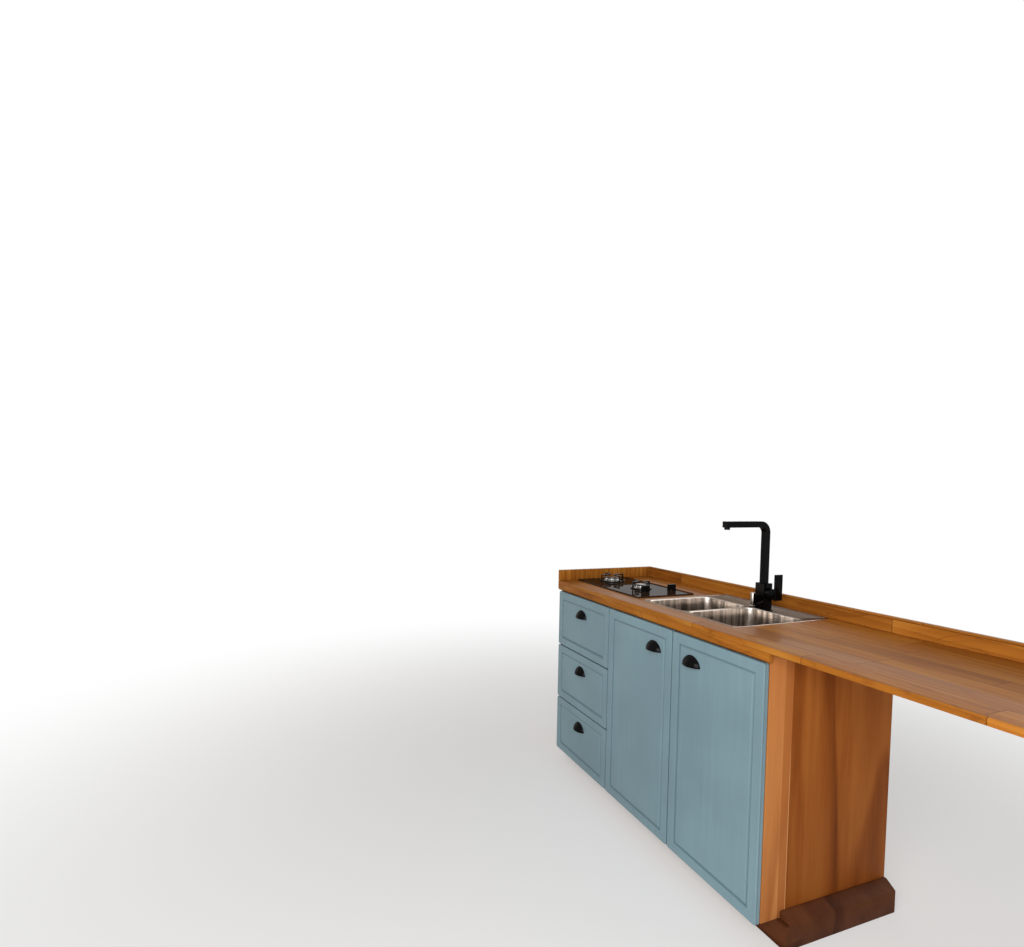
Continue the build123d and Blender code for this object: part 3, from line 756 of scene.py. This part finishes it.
pressedSink()
print("sink pressed")


# Burners: a bright crown with flame slots on each base, under a dark cap
burner = {
    "radii": (0.040, 0.030),
    "baseHeight": 0.006,
    "crownTop": 0.014,
    "capTop": 0.019,
    "crownInset": 0.007,
    "capInset": 0.0035,
    "capLap": 0.0004,
    "slotDepth": 0.0024,
    "slotEvery": 4,
    "slotStart": 0.001,
    "segments": 128,
}


def slotted(step, radius, height):
    cut = step % burner["slotEvery"] == 0 and height > burner["baseHeight"] + burner["slotStart"]
    return radius - burner["slotDepth"] if cut else radius


def burnerPieces():
    low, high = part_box("hob_burners")
    y = (low.y + high.y) / 2
    base, crownTop, capTop = burner["baseHeight"], burner["crownTop"], burner["capTop"]
    crowns, caps = bmesh.new(), bmesh.new()
    large, small = burner["radii"]
    for x, radius in ((low.x + large, large), (high.x - small, small)):
        inner = radius - burner["crownInset"]
        turned(crowns, (x, y, low.z), [
            (radius - 0.0005, 0.0), (radius, 0.0006), (radius, 0.0028), (radius - 0.0012, 0.004),
            (inner + 0.002, base - 0.0006), (inner + 0.0005, base), (inner, base + 0.0015),
            (inner - 0.001, crownTop - 0.001), (inner - 0.002, crownTop)],
            burner["segments"], slotted)
        edge = radius - burner["capInset"]
        under = crownTop - burner["capLap"]
        turned(caps, (x, y, low.z), [
            (edge - 0.0016, under), (edge - 0.0003, under + 0.0006), (edge, under + 0.0016),
            (edge - 0.0008, capTop - 0.0012), (edge - 0.003, capTop - 0.0003), (edge - 0.008, capTop),
            (edge - 0.016, capTop - 0.0004)],
            burner["segments"])
    makePiece(crowns, "burner_crowns", "burner_metal", "cabinet", stands="hob_burners")
    makePiece(caps, "burner_caps", "support_metal", "cabinet")


burnerPieces()
print("burners turned")


# Wastes: a dished flange with a strainer, and the body and tail under it; the strainer's holes are dark
# discs, painted shade where the holes would be
waste = {
    "flange": 0.038,
    "thickness": 0.0015,
    "body": 0.030,
    "tail": 0.020,
    "bodyDepth": 0.022,
    "dishRadius": 0.024,
    "dishDepth": 0.006,
    "holeRings": ((6, 0.0075), (12, 0.015), (18, 0.0205)),  # (holes, distance from the middle)
    "holeRadius": 0.0017,
    "holeSegments": 12,
    "segments": 64,
}


def wastePieces():
    low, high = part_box("sink_wastes")
    y = (low.y + high.y) / 2
    top = high.z
    flange, body, tail, dish = waste["flange"], waste["body"], waste["tail"], waste["dishRadius"]
    floor = top - waste["thickness"]
    bodyBottom = floor - waste["bodyDepth"]
    dishFloor = top - waste["dishDepth"]
    under, holeShades = bmesh.new(), bmesh.new()
    for x in (low.x + flange, high.x - flange):
        turned(under, (x, y, 0.0), [
            (tail - 0.001, low.z), (tail, low.z + 0.001), (tail, bodyBottom), (body - 0.003, bodyBottom),
            (body, bodyBottom + 0.003), (body, floor), (flange - 0.0006, floor), (flange, floor + 0.0005),
            (flange - 0.0012, top), (flange - 0.004, top), (dish + 0.004, top - 0.0006),
            (dish, top - 0.0025), (dish - 0.0012, dishFloor)],
            waste["segments"])
        # Painted shade: a dark disc for each hole of the strainer
        for count, reach in waste["holeRings"]:
            for step in range(count):
                angle = 2 * math.pi * step / count
                turned(holeShades, (x + reach * math.cos(angle), y + reach * math.sin(angle), 0.0),
                       [(waste["holeRadius"], dishFloor - 0.0004), (waste["holeRadius"], dishFloor + 0.0001)],
                       waste["holeSegments"])
    makePiece(under, "waste_fittings", "waste_chrome", "cabinet", stands="sink_wastes")
    makePiece(holeShades, "waste_hole_shade_discs", "support_metal", "cabinet")


wastePieces()


# Round knob on the sink's deck
deckKnob = {"foot": 0.013, "stem": 0.0095, "segments": 64}


def turnedDeckKnob():
    low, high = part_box("deck_knob")
    tall = high.z - low.z
    foot, stem = deckKnob["foot"], deckKnob["stem"]
    bm = bmesh.new()
    turned(bm, ((low.x + high.x) / 2, (low.y + high.y) / 2, low.z), [
        (foot - 0.0004, 0.0), (foot, 0.0006), (foot, 0.003), (foot - 0.0014, 0.0046), (stem + 0.0006, 0.0052),
        (stem - 0.0006, 0.0066), (stem - 0.0006, 0.012), (stem, 0.0128), (stem, tall - 0.003),
        (stem - 0.0006, tall - 0.0012), (stem - 0.002, tall - 0.0003), (stem - 0.004, tall)],
        deckKnob["segments"])
    makePiece(bm, "deck_knob_turned", "knob_steel", "cabinet", stands="deck_knob")


turnedDeckKnob()
print("wastes and deck knob turned")


# Inlaid pointer lines on the hob knobs
pointer = {"width": 0.0016, "length": 0.011, "depth": 0.0003, "inset": 0.003, "proud": 0.00005}


def knobPointer(node):
    low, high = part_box(node)
    x, half = (low.x + high.x) / 2, pointer["width"] / 2
    start = low.y + pointer["inset"]
    end = start + pointer["length"]
    bm = bmesh.new()
    tip = (x, end + pointer["width"])
    corners = [(x - half, start), (x + half, start), (x + half, end), tip, (x - half, end)]
    lower = [bm.verts.new((cx, cy, high.z - pointer["depth"])) for cx, cy in corners]
    upper = [bm.verts.new((cx, cy, high.z + pointer["proud"])) for cx, cy in corners]
    skin(bm, [lower, upper])
    bm.faces.new(lower)
    bm.faces.new(upper)
    makePiece(bm, node + "_pointer", "burner_metal", bodyOf[node])


for node in ("hob_knob_front", "hob_knob_back"):
    knobPointer(node)
print("knob pointers laid")


# Stage: a pale floor that fades into a white surround
stage = {
    "floorColour": (0.82, 0.81, 0.80, 1.0),
    "floorSize": 60.0,
    "fadeFrom": 1.0,
    "fadeTo": 4.2,
    "fadeNear": 0.35,
    "skyLevel": 0.24,
    "skyFront": 0.42,
    "skyFrom": (0.5, -0.85, 0.15),
}


def seenRays(mat):
    # 1 for what the camera sees straight, in a reflection or through glass
    path = add(mat, "LightPath")
    first = calc(mat, "MAXIMUM", path.outputs["Is Camera Ray"], path.outputs["Is Glossy Ray"])
    return calc(mat, "MAXIMUM", first, path.outputs["Is Transmission Ray"])


def makeFloor():
    mesh = bpy.data.meshes.new("floor")
    half = stage["floorSize"] / 2
    corners = [(-half, -half, 0), (half, -half, 0), (half, half, 0), (-half, half, 0)]
    mesh.from_pydata(corners, [], [(0, 1, 2, 3)])
    floor = bpy.data.objects.new("floor", mesh)
    bpy.context.scene.collection.objects.link(floor)
    mat, shader = newMaterial("paleFloor", Base_Color=stage["floorColour"], Roughness=0.9,
                              Specular_IOR_Level=0.1)
    away = add(mat, "VectorMath", {0: objectPlace(mat)}, operation="LENGTH").outputs["Value"]
    fade = calc(mat, "MULTIPLY", between(mat, away, stage["fadeFrom"], stage["fadeTo"], stage["fadeNear"]),
                seenRays(mat))
    glow = add(mat, "Emission", {"Color": white, "Strength": 1.0})
    blend = add(mat, "MixShader", {0: fade, 1: shader.outputs[0], 2: glow.outputs[0]})
    plug(mat, blend.outputs[0], mat.node_tree.nodes["Material Output"].inputs["Surface"])
    floor.data.materials.append(mat)


def makeWorld():
    world = bpy.data.worlds.new("surround")
    bpy.context.scene.world = world
    world.use_nodes = True
    background = world.node_tree.nodes["Background"]
    background.inputs["Color"].default_value = white
    ways = {0: add(world, "TexCoord").outputs["Generated"], 1: stage["skyFrom"]}
    towards = add(world, "VectorMath", ways, operation="DOT_PRODUCT").outputs["Value"]
    front = calc(world, "MULTIPLY", calc(world, "MAXIMUM", towards, 0.0), stage["skyFront"])
    strength = calc(world, "MAXIMUM", seenRays(world), calc(world, "ADD", front, stage["skyLevel"]))
    plug(world, strength, background.inputs["Strength"])


# Lamps: a white key in front, a weak warm one on the left and a white one behind
lampAim = (0.2, 0.0, 0.5)
lamps = {
    "key": {"place": (1.8, -2.1, 1.6), "size": 1.8, "power": 54.0, "colour": (1.0, 1.0, 1.0)},
    "fill": {"place": (-3.6, -2.4, 1.8), "size": 2.4, "power": 9.0, "colour": (1.0, 0.62, 0.32)},
    "rear": {"place": (1.2, 3.4, 2.0), "size": 2.6, "power": 26.0, "colour": (1.0, 1.0, 1.0)},
}


def makeLamp(name, place, size, power, colour):
    light = bpy.data.lights.new(name, "AREA")
    light.shape = "DISK"
    light.size = size
    light.energy = power
    light.color = colour
    lamp = bpy.data.objects.new(name, light)
    bpy.context.scene.collection.objects.link(lamp)
    lamp.location = place
    lamp.rotation_mode = "QUATERNION"
    lamp.rotation_quaternion = (Vector(lampAim) - lamp.location).to_track_quat("-Z", "Y")


# Camera, where the photograph was taken from
shot = {
    "place": (1.5344, -1.5709, 1.3269),
    "yaw": 69.404,
    "down": 2.705,
    "roll": -0.851,
    "lens": 19.778,
    "shift": (0.0241, 0.0449),
    "clip": (0.05, 200.0),
}


def makeCamera():
    yaw, down, roll = (math.radians(shot[key]) for key in ("yaw", "down", "roll"))
    ahead = Vector((-math.sin(yaw) * math.cos(down), math.cos(yaw) * math.cos(down), -math.sin(down)))
    level = Vector((math.cos(yaw), math.sin(yaw), 0))
    below = ahead.cross(level)
    right = math.cos(roll) * level + math.sin(roll) * below
    under = -math.sin(roll) * level + math.cos(roll) * below
    data = bpy.data.cameras.new("shot")
    data.lens = shot["lens"]
    data.shift_x, data.shift_y = shot["shift"]
    data.clip_start, data.clip_end = shot["clip"]
    camera = bpy.data.objects.new("shot", data)
    bpy.context.scene.collection.objects.link(camera)
    turn = Matrix((right, -under, -ahead)).transposed()
    camera.matrix_world = Matrix.Translation(Vector(shot["place"])) @ turn.to_4x4()
    bpy.context.scene.camera = camera


makeFloor()
makeWorld()
for name, row in lamps.items():
    makeLamp(name, **row)
makeCamera()
bpy.context.scene.view_settings.view_transform = "Standard"
print("stage, lamps and camera set")
